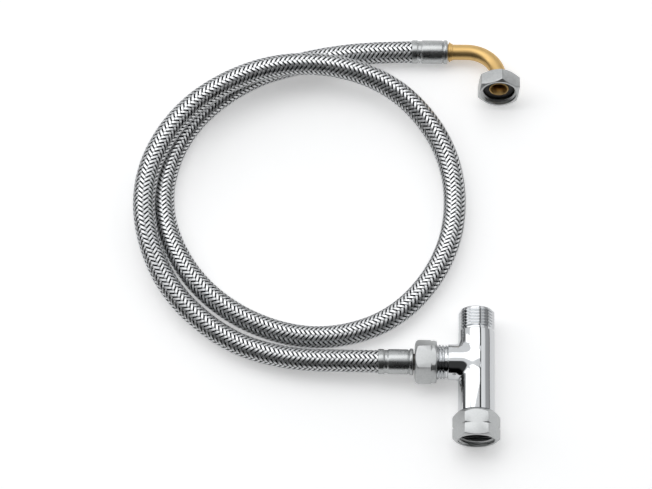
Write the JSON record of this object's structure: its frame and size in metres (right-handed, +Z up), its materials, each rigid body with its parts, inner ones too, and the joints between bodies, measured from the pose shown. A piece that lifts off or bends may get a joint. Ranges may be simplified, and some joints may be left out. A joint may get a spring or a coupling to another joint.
{
  "type": "braided supply line",
  "caption": "Braided steel water hose with a chromed tee adapter and swivel nut at one end and a bent brass tube with a union nut at the other.",
  "frame": {"origin": "under the middle of the tee and the fittings on its branch, on the surface they lie on", "axes": "+Z up, +Y along the tee's run towards its male outlet, the branch with the hose points to -X"},
  "size_m": [0.2254, 0.2494, 0.0279],
  "materials": {
    "tee_body": "polished chrome plate over brass",
    "swivel_nut": "satin chrome plate over brass",
    "swivel_snap_ring": "spring steel wire",
    "swivel_washer": "matt black rubber",
    "coupling_nut": "satin chrome plate over brass",
    "coupling_washer": "matt black rubber",
    "hose_nipple": "turned brass",
    "tee_ferrule": "satin stainless steel, crimped",
    "hose_liner": "black rubber tube",
    "hose_braid": "woven stainless steel wire",
    "elbow_ferrule": "satin stainless steel, crimped",
    "elbow_barb": "turned brass",
    "elbow_tube": "bent brass tube, satin",
    "elbow_flange": "turned brass",
    "elbow_washer": "matt black rubber",
    "elbow_nut": "satin chrome plate over brass"
  },
  "bodies": {
    "line": {"tee_body": "tee_body", "swivel_snap_ring": "swivel_snap_ring", "swivel_washer": "swivel_washer", "coupling_washer": "coupling_washer", "hose_nipple": "hose_nipple", "tee_ferrule": "tee_ferrule", "hose_liner": "hose_liner", "hose_braid": "hose_braid", "elbow_ferrule": "elbow_ferrule", "elbow_barb": "elbow_barb", "elbow_tube": "elbow_tube", "elbow_flange": "elbow_flange", "elbow_washer": "elbow_washer"},
    "swivel_nut": {"swivel_nut": "swivel_nut"},
    "coupling_nut": {"coupling_nut": "coupling_nut"},
    "elbow_nut": {"elbow_nut": "elbow_nut"}
  },
  "joints": [
    {"name": "swivel_nut_turn", "type": "hinge", "parent": "line", "child": "swivel_nut", "pos_m": [0.0214, -0.0315, 0.012], "axis": [0, 1, 0], "continuous": true},
    {"name": "coupling_nut_turn", "type": "hinge", "parent": "line", "child": "coupling_nut", "pos_m": [-0.008, 0.0078, 0.012], "axis": [1, 0, 0], "continuous": true},
    {"name": "elbow_nut_turn", "type": "hinge", "parent": "line", "child": "elbow_nut", "pos_m": [0.0343, 0.17771, 0.01427], "axis": [0, -0.9613, 0.2756], "continuous": true}
  ]
}
